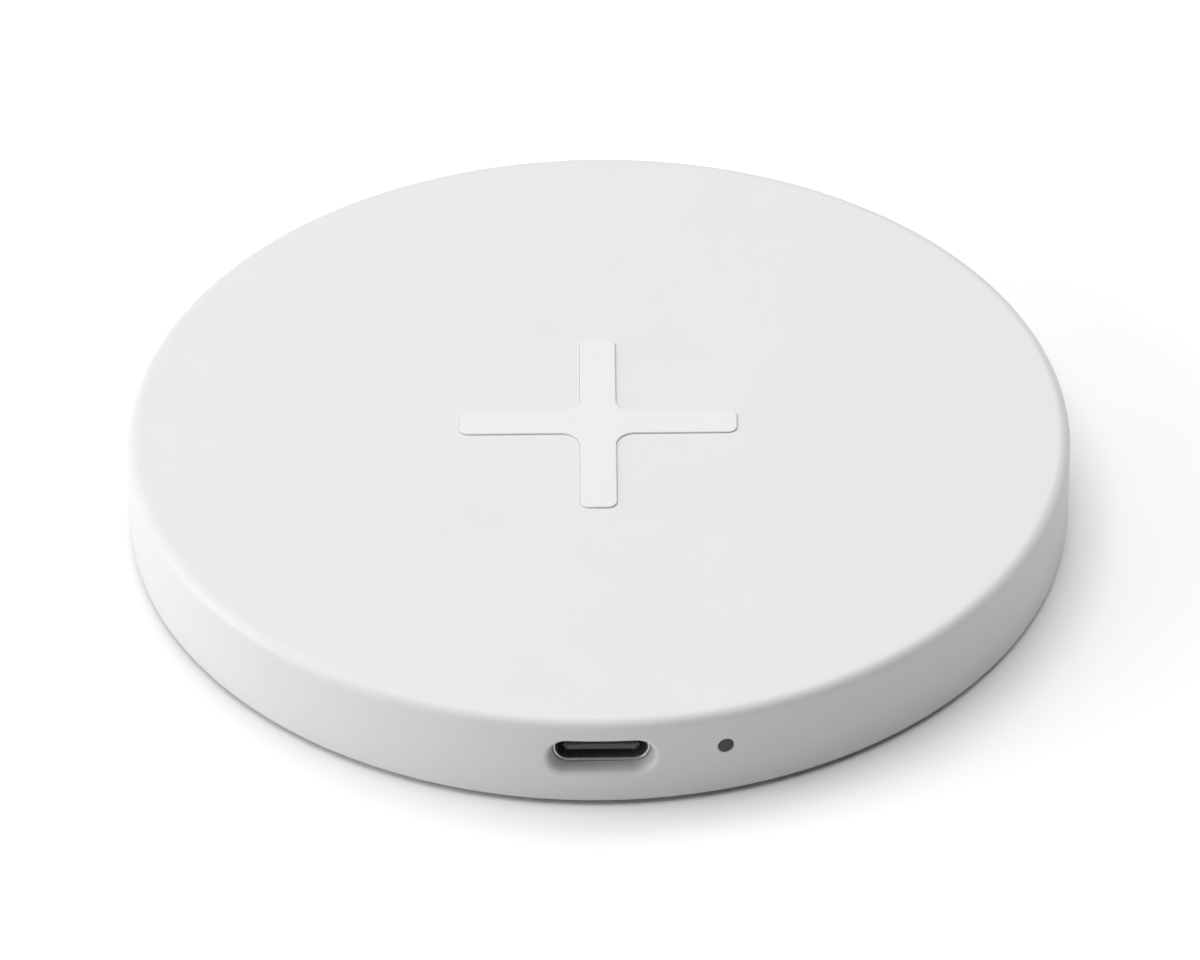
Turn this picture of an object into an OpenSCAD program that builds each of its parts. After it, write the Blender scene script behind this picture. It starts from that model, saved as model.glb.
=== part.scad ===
// Round wireless charging pad: a flat white disc with a cross-shaped grip inlay in its top face, a USB-C
// socket in a scooped pocket at the front of the side wall, and a status light to the right of the socket.
// Inside, a litz coil on a ferrite plate hangs under the top face, above a small circuit board.
// The origin is on the surface that the pad rests on, at the centre of the disc. +Z is up, and the socket
// faces -Y. Millimetres and degrees.

/* [Body] */
// Outer diameter of the pad
body_d = 90; // [89:0.5:94]
// Height of the shell, from its lower edge to its top face
shell_h = 9.05; // [9:0.05:9.8]
// Height of the shell's lower edge above the surface, given by the foot ring
foot_drop = 0.6; // [0.4:0.05:0.8]
// Thickness of the shell's top plate
top_t = 1.35; // [1.2:0.05:1.4]
// Thickness of the shell's side wall
wall_t = 1.6; // [1.5:0.05:1.7]
// Radius of the rounded top edge
top_edge_r = 1.15; // [0.8:0.05:1.3]

/* [Cross grip] */
// Length of the cross from end to end
grip_len = 26.5; // [22:0.1:32]
// Width of the cross's arms
grip_w = 3.45; // [3:0.05:4]
// Radius of the four inner corners
grip_inner_r = 1.8; // [1.2:0.1:2.4]
// Radius of the corners at the ends of the arms
grip_end_r = 0.9; // [0.5:0.1:1.2]
// Height of the cross above the top face
grip_proud = 0.15; // [0.05:0.05:0.3]
// Gap between the cross and its recess
grip_gap = 0.04; // [0.04:0.01:0.2]

/* [Socket] */
// Height of the socket's centre above the shell's lower edge
port_h = 5.0; // [4.95:0.05:5.15]
// Width of the pocket at its mouth
pocket_w = 10.25; // [10:0.05:11]
// Height of the pocket at its mouth
pocket_h = 4.0; // [3.8:0.05:4.3]
// Depth from the front of the pad to the socket's face
pocket_depth = 1.65; // [1.4:0.05:1.7]

/* [Status light] */
// Angle of the light from the front, towards +X
light_angle = 14.5; // [14:0.5:16]
// Height of the light above the shell's lower edge
light_h = 5.25; // [5.2:0.05:5.4]
// Diameter of the light window
light_d = 1.4; // [1:0.1:1.5]

/* [Coil] */
// Number of turns of the transmit coil
coil_turns = 10; // [8:1:10]
// Diameter of the litz wire
litz_d = 1.0; // [0.9:0.05:1]
// Distance from one turn to the next
coil_pitch = 1.07; // [1.06:0.01:1.09]
// Radius of the innermost turn, to the middle of the wire
coil_first_r = 10.75; // [10.6:0.05:11]
// Thickness of the ferrite plate
ferrite_t = 1.2; // [1:0.05:1.2]

/* [Hidden] */
$fn = 96;
cut = 0.5;                                // how far a cutter runs past the face that it opens
root = 0.2;                               // how deep a post or rib starts inside the wall it grows from
gap = 0.15;                               // gap round the cover and the foot ring
fine_gap = 0.05;                          // gap round the socket and the light pipe

body_r = body_d / 2;
inner_r = body_r - wall_t;
shell_top = foot_drop + shell_h;
ceiling = shell_top - top_t;
lower_edge_r = 0.25;
grip_depth = 0.75;

cover_t = 1.35;
cover_bottom = foot_drop + 0.25;
cover_top = cover_bottom + cover_t;
rebate_r = body_r - 0.95;
cover_r = rebate_r - gap;
cover_chamfer = 0.2;
rib_t = 0.8;
rib_h = 0.6;
rib_r = inner_r - 0.2;

tape_t = 0.1;
foot_r = 32.75;                           // middle of the foot ring
foot_w = 6;
foot_groove = 0.65;
foot_h = cover_bottom + foot_groove - tape_t;
foot_edge_r = 0.35;

cover_screw_angles = [45, 135, 225, 315];
cover_post_d = 5.4;
cover_boss_d = 6.6;
post_joint = 4.4;                         // height at which the cover's bosses meet the shell's posts
clamp_t = 1.2;
counterbore_d = 4.3;
screw_d = 2.0;
screw_l = 4.0;
screw_head_d = 3.9;
screw_head_h = 1.3;

port_z = foot_drop + port_h;
socket_w = 8.94;
socket_h = 3.16;
socket_l = 7.35;
socket_t = 0.3;
socket_face = body_r - pocket_depth;      // distance of the socket's face from the pad's axis
socket_back = socket_face - socket_l;
tongue_w = 6.69;
tongue_t = 0.7;
tongue_tip = socket_face - 0.1;
mid_plate_w = 6.89;
mid_plate_t = 0.16;
contact_pitch = 0.5;
contact_w = 0.26;
contact_t = 0.04;
contact_l = 3.1;
contacts_a_row = 12;
leg_w = 1.1;
leg_x = [4.12, 4.42];                     // inner and outer face of the socket's legs
leg_at = [socket_face - 2.9, socket_face - 6.0];
surround_w = 13.6;

board_t = 1.0;
board_top = port_z - socket_h / 2;
board_bottom = board_top - board_t;
board_r = 27;
board_front = 41.7;
board_front_r = inner_r - 0.8;
board_half_w = 18.5;
board_tab_r = 3.5;
board_screw_at = [[-15.5, -35.5], [15.5, -35.5], [0, 29.4]];
board_post_d = 4.6;
board_screw_d = 1.6;
board_screw_l = 3.6;
wafer_head_d = 3.2;
wafer_head_h = 0.6;
leg_bottom = board_bottom - 0.6;

light_z = foot_drop + light_h;
light_leg_r = 40.2;                       // distance from the axis at which the pipe turns down to the LED
light_leg_d = 1.6;
flange_d = 2.2;
sleeve_d = 3.0;
sleeve_back = inner_r - 1.9;
led_size = [1.0, 0.8, 0.7];

coil_z = ceiling - tape_t - litz_d / 2;
coil_last_r = coil_first_r + coil_turns * coil_pitch;
tape_r = coil_last_r + litz_d / 2 + 0.3;
tape_hole_r = coil_first_r - litz_d / 2 - 0.6;
ferrite_r = 25;
ferrite_top = coil_z - litz_d / 2 - tape_t;
ferrite_bottom = ferrite_top - ferrite_t;
fence_r = ferrite_r + 0.4;
fence_t = 0.8;
fence_opening = 14;

lead_z = ferrite_top - 0.1 - litz_d / 2;  // height of the inner lead, in the ferrite's slot
lead_bottom = board_top + 0.15;
step_r = 1.0;                             // bend radius where the inner lead steps down under the turns
step_angle = acos(1 - (coil_z - lead_z) / (2 * step_r));
turn_r = 1.5;                             // bend radius where a lead turns to the front or down
outer_turn_r = 3.0;
outer_run = 0.6;
inner_lead_x = -2 * step_r * sin(step_angle) - turn_r;
inner_run_end = 26.2;                     // distance from the axis at which the inner lead turns down
lead_slot_w = litz_d + 0.6;
lead_pads = [[inner_lead_x, -inner_run_end - turn_r],
    [outer_turn_r, -coil_last_r - outer_turn_r - outer_run - turn_r]];

bead_d = 1.8;
bead_z = ceiling - 0.2 - bead_d / 2;
neck_d = 1.4;
neck_bottom = bead_z - 1.5;
bead_lead_x = 0.45;
bead_lead_d = 0.25;

controller_at = [0, -13.5];
controller_size = [5, 5, 0.85];
delivery_at = [0, -32.2];
delivery_size = [3, 3, 0.75];
bridge_at = [[-8.4, -19.2], [8.4, -19.2]];
bridge_size = [4.9, 5.7, 1.0];
regulator_at = [9.6, -11.9];
regulator_size = [2.9, 1.6, 0.95];
regulator_lift = 0.1;
capacitor_size = [1.6, 3.2, 1.6];
resonance_at = [for (i = [0:3]) [7.4 + 2.4 * i, -30.4]];
input_at = [for (i = [0:1]) [-7.6 - 2.6 * i, -38.2]];
sense_at = [0, -22.6];
sense_size = [1.6, 3.2, 0.6];
passive_size = [0.8, 1.6, 0.45];
passive_at = concat(
    [for (y = [-7.6, -5.2]) for (i = [-4:4]) [2.4 * i, y]],
    [for (side = [-1, 1]) for (i = [0:2]) [side * (13.6 + 1.5 * i), -14]],
    [for (side = [-1, 1]) [side * 3.2, -33.6]],
    [[7.2, -37.4]]);
inductor_at = [-11, -29.8];
inductor_size = [6, 6, 2.8];
test_pad_at = [for (x = [-6:3:6]) for (y = [2.5, 5.5]) [x, y]];

// ---- outlines and helpers ----

// Points of an arc about c, from angle a to angle b
function arc(c, r, a, b, steps = 10) =
    [for (i = [0:steps]) let (t = a + (b - a) * i / steps) c + r * [cos(t), sin(t)]];

// Obround outline, w wide and h high, with half-round ends
module obround(w, h) {
    square([w - h, h], center = true);
    for (side = [-1, 1]) translate([side * (w - h) / 2, 0]) circle(d = h);
}

// Cross outline, grown outwards by grow: the end of one arm and the corner after it, turned four times
module cross_outline(grow = 0) {
    half_l = grip_len / 2 + grow;
    half_w = grip_w / 2 + grow;
    end_r = grip_end_r + grow;
    inner = grip_inner_r - grow;
    quarter = concat(
        arc([half_l - end_r, end_r - half_w], end_r, -90, 0),
        arc([half_l - end_r, half_w - end_r], end_r, 0, 90),
        arc([half_w + inner, half_w + inner], inner, 270, 180));
    polygon([for (turn = [0:3]) for (p = quarter) let (c = cos(90 * turn), s = sin(90 * turn))
        [p.x * c - p.y * s, p.x * s + p.y * c]]);
}

// Ring between two radii, standing on height z
module ring(r_out, r_in, z, h) {
    translate([0, 0, z]) linear_extrude(h) difference() {
        circle(r_out);
        circle(r_in);
    }
}

// Block centred in x and y, standing on z, with its upright edges rounded
module block(size, z = 0, r = 0.05) {
    x = size.x / 2 - r;
    y = size.y / 2 - r;
    translate([0, 0, z]) linear_extrude(size.z) polygon(concat(
        arc([x, y], r, 0, 90, 3), arc([-x, y], r, 90, 180, 3),
        arc([-x, -y], r, 180, 270, 3), arc([x, -y], r, 270, 360, 3)));
}

// Children at each place of a list of [x, y], at height z
module at_each(places, z = 0) {
    for (p = places) translate([p.x, p.y, z]) children();
}

// Children at each cover screw, at height z
module at_cover_screws(z) {
    for (a = cover_screw_angles) rotate(a) translate([foot_r, 0, z]) children();
}

// Children in the socket's frame: x to the right, y up, and z out of the front
module at_port(z = 0) {
    translate([0, 0, port_z]) rotate([90, 0, 0]) translate([0, 0, z]) children();
}

// Children on the light's radial axis, with x running outwards
module at_light() {
    rotate(light_angle - 90) children();
}

// Cylinder along the light's axis, from radius a to radius b
module light_cylinder(a, b, d) {
    at_light() translate([a, 0, light_z]) rotate([0, 90, 0]) cylinder(h = b - a, d = d);
}

// Straight round wire along +Z, followed by its children
module wire(l, r) {
    cylinder(h = l, r = r, $fn = 48);
    translate([0, 0, l]) children();
}

// Bend of round wire from +Z towards +X, rolled about +Z first, followed by its children
module bend(bend_r, angle, r, roll) {
    rotate(roll) {
        translate([bend_r, 0, 0]) rotate([90, 0, 180])
            rotate_extrude(angle = angle) translate([bend_r, 0]) circle(r, $fn = 48);
        translate([bend_r * (1 - cos(angle)), 0, bend_r * sin(angle)]) rotate([0, angle, 0]) children();
    }
}

// Screw pointing up from the underside of its head: a cross recess below, thread ridges on the shank
module screw(d, l, head_d, head_h, pitch) {
    core_r = 0.39 * d;
    crest_r = d / 2 - 0.02;
    ridges = floor((l - 0.6) / pitch);
    recess = 0.55 * head_h;
    difference() {
        translate([0, 0, -head_h]) cylinder(h = head_h, d1 = 0.86 * head_d, d2 = head_d);
        for (a = [0, 90]) rotate(a) translate([0, 0, -head_h])
            cube([0.55 * head_d, 0.15 * head_d, 2 * recess], center = true);
    }
    rotate_extrude() polygon(concat([[0, 0], [core_r, 0]],
        [for (i = [0:ridges - 1]) for (p = [[0, 0.25], [1, 0.5], [1, 0.6], [0, 0.85]])
            [core_r + p[0] * (crest_r - core_r), (i + p[1]) * pitch]],
        [[core_r, l - 0.35], [core_r / 2, l], [0, l]]));
}

// ---- casing ----

// Half section of the shell: top plate and side wall, with a rebate for the cover
module shell_section() {
    difference() {
        translate([0, foot_drop]) square([body_r, shell_h]);
        translate([-cut, foot_drop - cut]) square([inner_r + cut, ceiling - foot_drop + cut]);
        translate([-cut, foot_drop - cut]) square([rebate_r + cut, cover_top - foot_drop + cut]);
        translate([body_r - top_edge_r, shell_top - top_edge_r]) difference() {
            square(top_edge_r + cut);
            circle(top_edge_r);
        }
        translate([body_r - lower_edge_r, foot_drop + lower_edge_r]) difference() {
            translate([0, -lower_edge_r - cut]) square(lower_edge_r + cut);
            circle(lower_edge_r);
        }
    }
}

// Post that hangs from the ceiling down to height z
module ceiling_post(d, z) {
    translate([0, 0, z]) cylinder(h = ceiling - z + root, d = d);
}

// Posts, gussets, the fence round the ferrite, the socket's surround and the light pipe's sleeve
module shell_inside() {
    gusset = [inner_r - foot_r + root, 0.9, 2.2];
    surround_back = board_front + 0.3;
    surround_bottom = cover_top + 0.4;
    at_cover_screws(0) ceiling_post(cover_post_d, post_joint);
    at_each(board_screw_at) ceiling_post(board_post_d, board_top);
    for (a = cover_screw_angles) rotate(a) translate([foot_r, -gusset.y / 2, ceiling - gusset.z])
        cube(gusset + [0, 0, root]);
    difference() {
        ring(fence_r + fence_t, fence_r, ferrite_bottom, ceiling + root - ferrite_bottom);
        translate([-fence_opening / 2, -fence_r - 2, 0]) cube([fence_opening, 6, ceiling]);
    }
    translate([-surround_w / 2, -inner_r - root, surround_bottom])
        cube([surround_w, inner_r + root - surround_back, ceiling + root - surround_bottom]);
    light_cylinder(sleeve_back, inner_r + root, sleeve_d);
}

// Funnel from the pocket's mouth to the socket's face, and the opening that holds the socket
module port_cut() {
    hull() {
        at_port(socket_face) linear_extrude(0.01) obround(socket_w + 0.2, socket_h + 0.3, $fn = 32);
        at_port(body_r - 0.3) linear_extrude(1) obround(pocket_w, pocket_h, $fn = 32);
    }
    at_port(board_front - 1) linear_extrude(pocket_depth + 3)
        obround(socket_w + 2 * fine_gap, socket_h + 2 * fine_gap);
}

module top_shell() color("white") difference() {
    union() {
        rotate_extrude($fn = 240) shell_section();
        shell_inside();
    }
    port_cut();
    light_cylinder(sleeve_back - cut, body_r + cut, light_d + 2 * fine_gap);
    translate([0, 0, shell_top - grip_depth]) linear_extrude(grip_depth + cut) cross_outline(grip_gap);
    at_cover_screws(post_joint - cut) cylinder(h = cut + screw_l - clamp_t + 0.3, d = screw_d);
    at_each(board_screw_at, board_top - cut)
        cylinder(h = cut + board_screw_l - board_t + 0.4, d = board_screw_d);
}

module cross_grip() color("whitesmoke")
    translate([0, 0, shell_top - grip_depth]) linear_extrude(grip_depth + grip_proud) cross_outline();

module bottom_cover() color("white") difference() {
    union() {
        rotate_extrude($fn = 240) polygon([[0, cover_bottom], [cover_r - cover_chamfer, cover_bottom],
            [cover_r, cover_bottom + cover_chamfer], [cover_r, cover_top], [0, cover_top]]);
        at_cover_screws(cover_top - root) cylinder(h = post_joint - cover_top + root, d = cover_boss_d);
        difference() {
            ring(rib_r, rib_r - rib_t, cover_top - root, rib_h + root);
            translate([-surround_w / 2 - 1, -body_r, cover_top])
                cube([surround_w + 2, wall_t + 4, rib_h + cut]);
        }
        ring(ferrite_r, ferrite_r - rib_t, cover_top - root, board_bottom - 0.1 - cover_top + root);
    }
    ring(foot_r + foot_w / 2 + gap, foot_r - foot_w / 2 - gap, cover_bottom - cut, foot_groove + cut);
    at_cover_screws(cover_bottom) cylinder(h = post_joint - clamp_t - cover_bottom, d = counterbore_d);
    at_cover_screws(cover_bottom) cylinder(h = post_joint - cover_bottom + cut, d = screw_d + 0.4);
}

module foot_ring() color("gainsboro") rotate_extrude($fn = 240) {
    r_in = foot_r - foot_w / 2;
    r_out = foot_r + foot_w / 2;
    polygon(concat(
        arc([r_in + foot_edge_r, foot_edge_r], foot_edge_r, 180, 270, 5),
        arc([r_out - foot_edge_r, foot_edge_r], foot_edge_r, 270, 360, 5),
        [[r_out, foot_h], [r_in, foot_h]]));
}

module foot_adhesive() color("khaki")
    ring(foot_r + foot_w / 2 - 0.3, foot_r - foot_w / 2 + 0.3, foot_h, tape_t);

module cover_screws() color("silver")
    at_cover_screws(post_joint - clamp_t) screw(screw_d, screw_l, screw_head_d, screw_head_h, 0.6);

module board_screws() color("silver")
    at_each(board_screw_at, board_bottom)
        screw(board_screw_d, board_screw_l, wafer_head_d, wafer_head_h, 0.5);

// ---- circuit board and socket ----

// Round board with a wide front end that carries the socket, and a tab for the rear screw
module board_outline() {
    intersection() {
        union() {
            circle(board_r);
            translate([-board_half_w, -board_front]) square([2 * board_half_w, board_front]);
        }
        circle(board_front_r);
    }
    rear = board_screw_at[2].y;
    translate([-board_tab_r, 0]) square([2 * board_tab_r, rear]);
    translate([0, rear]) circle(board_tab_r);
}

module circuit_board() color("darkgreen") translate([0, 0, board_bottom]) linear_extrude(board_t)
    difference() {
        board_outline();
        at_each(board_screw_at) circle(d = board_screw_d + 0.3);
        for (side = [-1, 1]) for (y = leg_at)
            translate([side * (leg_x[0] + leg_x[1]) / 2, -y]) square([0.7, leg_w + 0.4], center = true);
    }

module test_pads() color("gold") at_each(test_pad_at, board_top) cylinder(h = 0.05, d = 1.3, $fn = 32);

// Stamped shell: an obround tube with two pairs of legs through the board
module usb_c_shell() color("silver") {
    at_port(socket_back) linear_extrude(socket_l) difference() {
        obround(socket_w, socket_h);
        obround(socket_w - 2 * socket_t, socket_h - 2 * socket_t);
    }
    for (side = [0, 1]) mirror([side, 0, 0]) for (y = leg_at)
        translate([leg_x[0], -y - leg_w / 2, leg_bottom])
            cube([leg_x[1] - leg_x[0], leg_w, port_z - 0.3 - leg_bottom]);
}

// Insulator: the block that closes the back of the shell, a step, and the tongue
module usb_c_tongue() color("dimgray") difference() {
    union() {
        at_port(socket_back) linear_extrude(1.4)
            obround(socket_w - 2 * socket_t - 0.04, socket_h - 2 * socket_t - 0.04);
        at_port(socket_back + 1) linear_extrude(1.6) square([7.2, 1.5], center = true);
        at_port(socket_back + 2) linear_extrude(tongue_tip - socket_back - 2)
            square([tongue_w, tongue_t], center = true);
    }
    at_port(socket_back + 1.2) linear_extrude(tongue_tip - socket_back - 1.5)
        square([mid_plate_w, mid_plate_t], center = true);
}

module usb_c_mid_plate() color("lightgray") at_port(socket_back + 1.2) difference() {
    linear_extrude(tongue_tip - socket_back - 1.5) square([mid_plate_w, mid_plate_t], center = true);
    for (side = [-1, 1]) translate([side * mid_plate_w / 2, -1, 4.2]) rotate([-90, 0, 0])
        cylinder(h = 2, d = 0.7, $fn = 32);
}

// Contact strips on both faces of the tongue, and their tails on the board behind the shell
module usb_c_contacts() color("gold") for (i = [0:contacts_a_row - 1]) {
    x = (i - (contacts_a_row - 1) / 2) * contact_pitch;
    tail_h = 0.12;
    for (y = [tongue_t / 2, -tongue_t / 2 - contact_t])
        at_port(tongue_tip - 0.7 - contact_l) translate([x - contact_w / 2, y, 0])
            cube([contact_w, contact_t, contact_l]);
    translate([x - contact_w / 2, -socket_back, board_top]) cube([contact_w, 0.6, tail_h]);
}

// ---- status light ----

module status_led() color("ivory") at_light() translate([light_leg_r, 0, board_top]) block(led_size);

// Window in the wall, a flange behind its sleeve, and a leg that turns down over the LED at 45 degrees
module light_pipe() color("dimgray") difference() {
    leg_bottom_z = board_top + led_size.z + 0.1;
    union() {
        light_cylinder(light_leg_r, body_r, light_d);
        light_cylinder(sleeve_back - 0.6, sleeve_back, flange_d);
        at_light() translate([light_leg_r, 0, leg_bottom_z])
            cylinder(h = light_z - leg_bottom_z + 0.5, d = light_leg_d);
    }
    at_light() translate([light_leg_r, 0, light_z]) rotate([0, -45, 0])
        translate([-3, -2, 0]) cube([6, 4, 4]);
}

// ---- coil stack ----

// Spiral of half-turns, each half a pitch wider than the last, about two centres by turns
module transmit_coil() color("peru") translate([0, 0, coil_z]) rotate(-90)
    for (half = [0:2 * coil_turns - 1]) {
        odd = half % 2;
        translate([odd * coil_pitch / 2, 0, 0]) rotate(180 * odd) rotate_extrude(angle = 180)
            translate([coil_first_r + half * coil_pitch / 2, 0]) circle(d = litz_d, $fn = 48);
    }

// The inner lead steps down into the ferrite's slot and runs to the front under the turns.
// The outer lead turns to the front over the ferrite's edge. Both end upright over their pads.
module coil_leads() color("sandybrown") {
    r = litz_d / 2;
    translate([0, -coil_first_r, coil_z]) rotate([0, -90, 0])
        bend(step_r, step_angle, r, 180) bend(step_r, step_angle, r, 180)
            bend(turn_r, 90, r, -90) wire(inner_run_end - coil_first_r - turn_r, r)
                bend(turn_r, 90, r, -90) wire(lead_z - turn_r - lead_bottom, r);
    translate([0, -coil_last_r, coil_z]) rotate([0, 90, 0])
        bend(outer_turn_r, 90, r, -90) wire(outer_run, r)
            bend(turn_r, 90, r, 90) wire(coil_z - turn_r - lead_bottom, r);
}

// Room for the inner lead: a channel to the front, and a pocket where the lead steps down
module lead_slot(z, h) {
    clear = lead_slot_w / 2;
    pocket_y = -coil_first_r - turn_r - 0.2;
    translate([inner_lead_x - clear, -ferrite_r - 1, z]) cube([2 * clear, ferrite_r + 1 + pocket_y + 0.5, h]);
    translate([inner_lead_x - clear, pocket_y, z])
        cube([-inner_lead_x + clear + 0.8, -coil_first_r + clear - pocket_y, h]);
}

module ferrite_plate() color("darkslategray") difference() {
    translate([0, 0, ferrite_bottom]) cylinder(h = ferrite_t, r = ferrite_r);
    translate([0, 0, ferrite_bottom - cut]) cylinder(h = ferrite_t + 2 * cut, d = 4);
    lead_slot(ferrite_bottom - cut, ferrite_t + 2 * cut);
}

module coil_adhesive() color("khaki") ring(tape_r, tape_hole_r, ceiling - tape_t, tape_t);

module ferrite_adhesive() color("khaki") difference() {
    ring(tape_r, tape_hole_r, ferrite_top, tape_t);
    lead_slot(ferrite_top - cut, tape_t + 2 * cut);
}

module thermistor_bead() color("black") {
    translate([0, 0, bead_z]) sphere(d = bead_d);
    translate([0, 0, neck_bottom]) cylinder(h = bead_z - neck_bottom, d = neck_d);
}

module thermistor_leads() color("silver") for (side = [-1, 1])
    translate([side * bead_lead_x, 0, board_top])
        cylinder(h = neck_bottom - board_top, d = bead_lead_d, $fn = 32);

// ---- parts on the board ----

// Chip body with a round mark sunk into its first corner
module chip(at, size) {
    translate([at.x, at.y, board_top]) difference() {
        block(size);
        translate([-size.x / 2 + 0.6, size.y / 2 - 0.6, size.z - 0.06]) cylinder(h = 1, d = 0.5, $fn = 32);
    }
}

module controller_chip() color("black") chip(controller_at, controller_size);

module power_delivery_chip() color("black") chip(delivery_at, delivery_size);

// Soldered lands round the two chips that have no legs
module chip_lands() color("silver") {
    for (c = [[controller_at, controller_size, 8], [delivery_at, delivery_size, 4]])
        translate([c[0].x, c[0].y, board_top]) for (a = [0:90:270]) rotate(a)
            for (i = [0:c[2] - 1]) translate([c[1].x / 2, (i - (c[2] - 1) / 2) * 0.55 - 0.13, 0])
                cube([0.3, 0.26, 0.12]);
}

module bridge_transistors() color("black") for (p = bridge_at) chip(p, bridge_size);

module voltage_regulator() color("black")
    translate([regulator_at.x, regulator_at.y, board_top + regulator_lift]) block(regulator_size);

// Flat leads of the bridge transistors, and the gull-wing legs of the regulator
module package_leads() color("silver") {
    at_each(bridge_at, board_top) for (side = [0, 180]) rotate(side) for (i = [-1.5:1.5])
        translate([i * 1.27 - 0.25, bridge_size.y / 2, 0]) cube([0.5, 0.35, 0.25]);
    translate([regulator_at.x, regulator_at.y, board_top]) for (side = [0, 180]) rotate(side)
        for (i = side == 0 ? [-1, 0, 1] : [-1, 1])
            translate([i * 0.95 + 0.2, regulator_size.y / 2, 0]) rotate([0, -90, 0]) linear_extrude(0.4)
                polygon([[0.45, 0], [0.6, 0], [0.6, 0.3], [0.15, 0.45], [0.15, 0.8], [0, 0.8], [0, 0.32],
                    [0.45, 0.2]]);
}

// Body of a part that has an end cap at each end of its length
module capped_body(size) {
    block([size.x - 0.04, size.y - size.x / 2, size.z - 0.04]);
}

// The two end caps of such a part
module caps(size) {
    cap_l = size.x / 4;
    for (side = [-1, 1]) translate([0, side * (size.y - cap_l) / 2, 0]) block([size.x, cap_l, size.z]);
}

module resonance_capacitors() color("tan") at_each(resonance_at, board_top) capped_body(capacitor_size);

module input_capacitors() color("burlywood") at_each(input_at, board_top) capped_body(capacitor_size);

module sense_resistor() color("black")
    translate([sense_at.x, sense_at.y, board_top]) rotate(90) capped_body(sense_size);

module small_passives() color("black") at_each(passive_at, board_top) capped_body(passive_size);

// Metal end caps of the capacitors, the resistors and the LED
module end_caps() color("silver") {
    at_each(concat(resonance_at, input_at), board_top) caps(capacitor_size);
    translate([sense_at.x, sense_at.y, board_top]) rotate(90) caps(sense_size);
    at_each(passive_at, board_top) caps(passive_size);
    at_light() for (side = [-1, 1]) translate([light_leg_r + side * (led_size.x / 2 + 0.15), 0, board_top])
        block([0.3, led_size.y, 0.3]);
}

module filter_inductor() color("dimgray")
    translate([inductor_at.x, inductor_at.y, board_top]) block(inductor_size, 0, 0.6);

// Strip terminals that stand against two sides of the inductor
module inductor_terminals() color("silver")
    translate([inductor_at.x, inductor_at.y, board_top]) for (side = [0, 180]) rotate(side)
        translate([inductor_size.x / 2, -1.3, 0]) cube([0.2, 2.6, 1.1]);

// Solder on the coil's pads, round the socket's legs under the board, and round the thermistor's leads
module solder_joints() color("silver") {
    difference() {
        at_each(lead_pads, board_top) cylinder(h = 0.7, r1 = 1.3, r2 = 0.75);
        at_each(lead_pads, lead_bottom) cylinder(h = 2, d = litz_d, $fn = 48);
    }
    for (side = [0, 1]) mirror([side, 0, 0]) for (y = leg_at) difference() {
        translate([(leg_x[0] + leg_x[1]) / 2, -y, board_bottom - 0.4]) cylinder(h = 0.4, r1 = 0.65, r2 = 0.95);
        translate([leg_x[0], -y - leg_w / 2, leg_bottom - cut]) cube([leg_x[1] - leg_x[0], leg_w, 3]);
    }
    for (side = [-1, 1]) translate([side * bead_lead_x, 0, board_top]) difference() {
        cylinder(h = 0.3, r1 = 0.4, r2 = 0.2, $fn = 32);
        translate([0, 0, -cut]) cylinder(h = 1 + cut, d = bead_lead_d, $fn = 32);
    }
}

top_shell();
cross_grip();
bottom_cover();
foot_ring();
foot_adhesive();
cover_screws();
board_screws();
circuit_board();
test_pads();
usb_c_shell();
usb_c_tongue();
usb_c_mid_plate();
usb_c_contacts();
status_led();
light_pipe();
transmit_coil();
coil_leads();
ferrite_plate();
coil_adhesive();
ferrite_adhesive();
thermistor_bead();
thermistor_leads();
controller_chip();
power_delivery_chip();
chip_lands();
bridge_transistors();
voltage_regulator();
package_leads();
resonance_capacitors();
input_capacitors();
sense_resistor();
small_passives();
end_caps();
filter_inductor();
inductor_terminals();
solder_joints();
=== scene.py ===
"""Looks of the round wireless charging pad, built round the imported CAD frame.

Shapes are worked out in millimetres in the CAD's own frame (origin under the middle of the pad, +Z up,
the socket faces -Y), and mesh_object turns them into metres.
"""
import math

import bmesh
import bpy
from mathutils import Matrix, Vector


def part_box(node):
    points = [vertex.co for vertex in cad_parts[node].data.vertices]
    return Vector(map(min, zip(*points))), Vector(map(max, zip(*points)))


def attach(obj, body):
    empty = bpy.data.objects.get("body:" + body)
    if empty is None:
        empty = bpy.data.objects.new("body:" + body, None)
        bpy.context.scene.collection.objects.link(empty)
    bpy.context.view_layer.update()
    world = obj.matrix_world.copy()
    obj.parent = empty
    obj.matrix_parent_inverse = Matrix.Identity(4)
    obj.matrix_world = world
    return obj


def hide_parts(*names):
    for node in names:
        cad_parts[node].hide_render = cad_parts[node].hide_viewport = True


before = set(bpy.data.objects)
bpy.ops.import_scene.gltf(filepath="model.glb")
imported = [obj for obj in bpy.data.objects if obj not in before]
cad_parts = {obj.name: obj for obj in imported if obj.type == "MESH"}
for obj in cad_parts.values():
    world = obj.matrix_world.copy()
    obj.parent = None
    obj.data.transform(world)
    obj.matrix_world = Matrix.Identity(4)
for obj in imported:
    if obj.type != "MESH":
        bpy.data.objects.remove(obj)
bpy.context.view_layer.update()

MM = 0.001
SMOOTH_ANGLE = math.radians(32)


def box_mm(node):
    """Lowest and highest corner of a CAD node, in millimetres."""
    low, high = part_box(node)
    return Vector(low) / MM, Vector(high) / MM


# ---- dimensions, from the frame where it gives them ----

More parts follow.
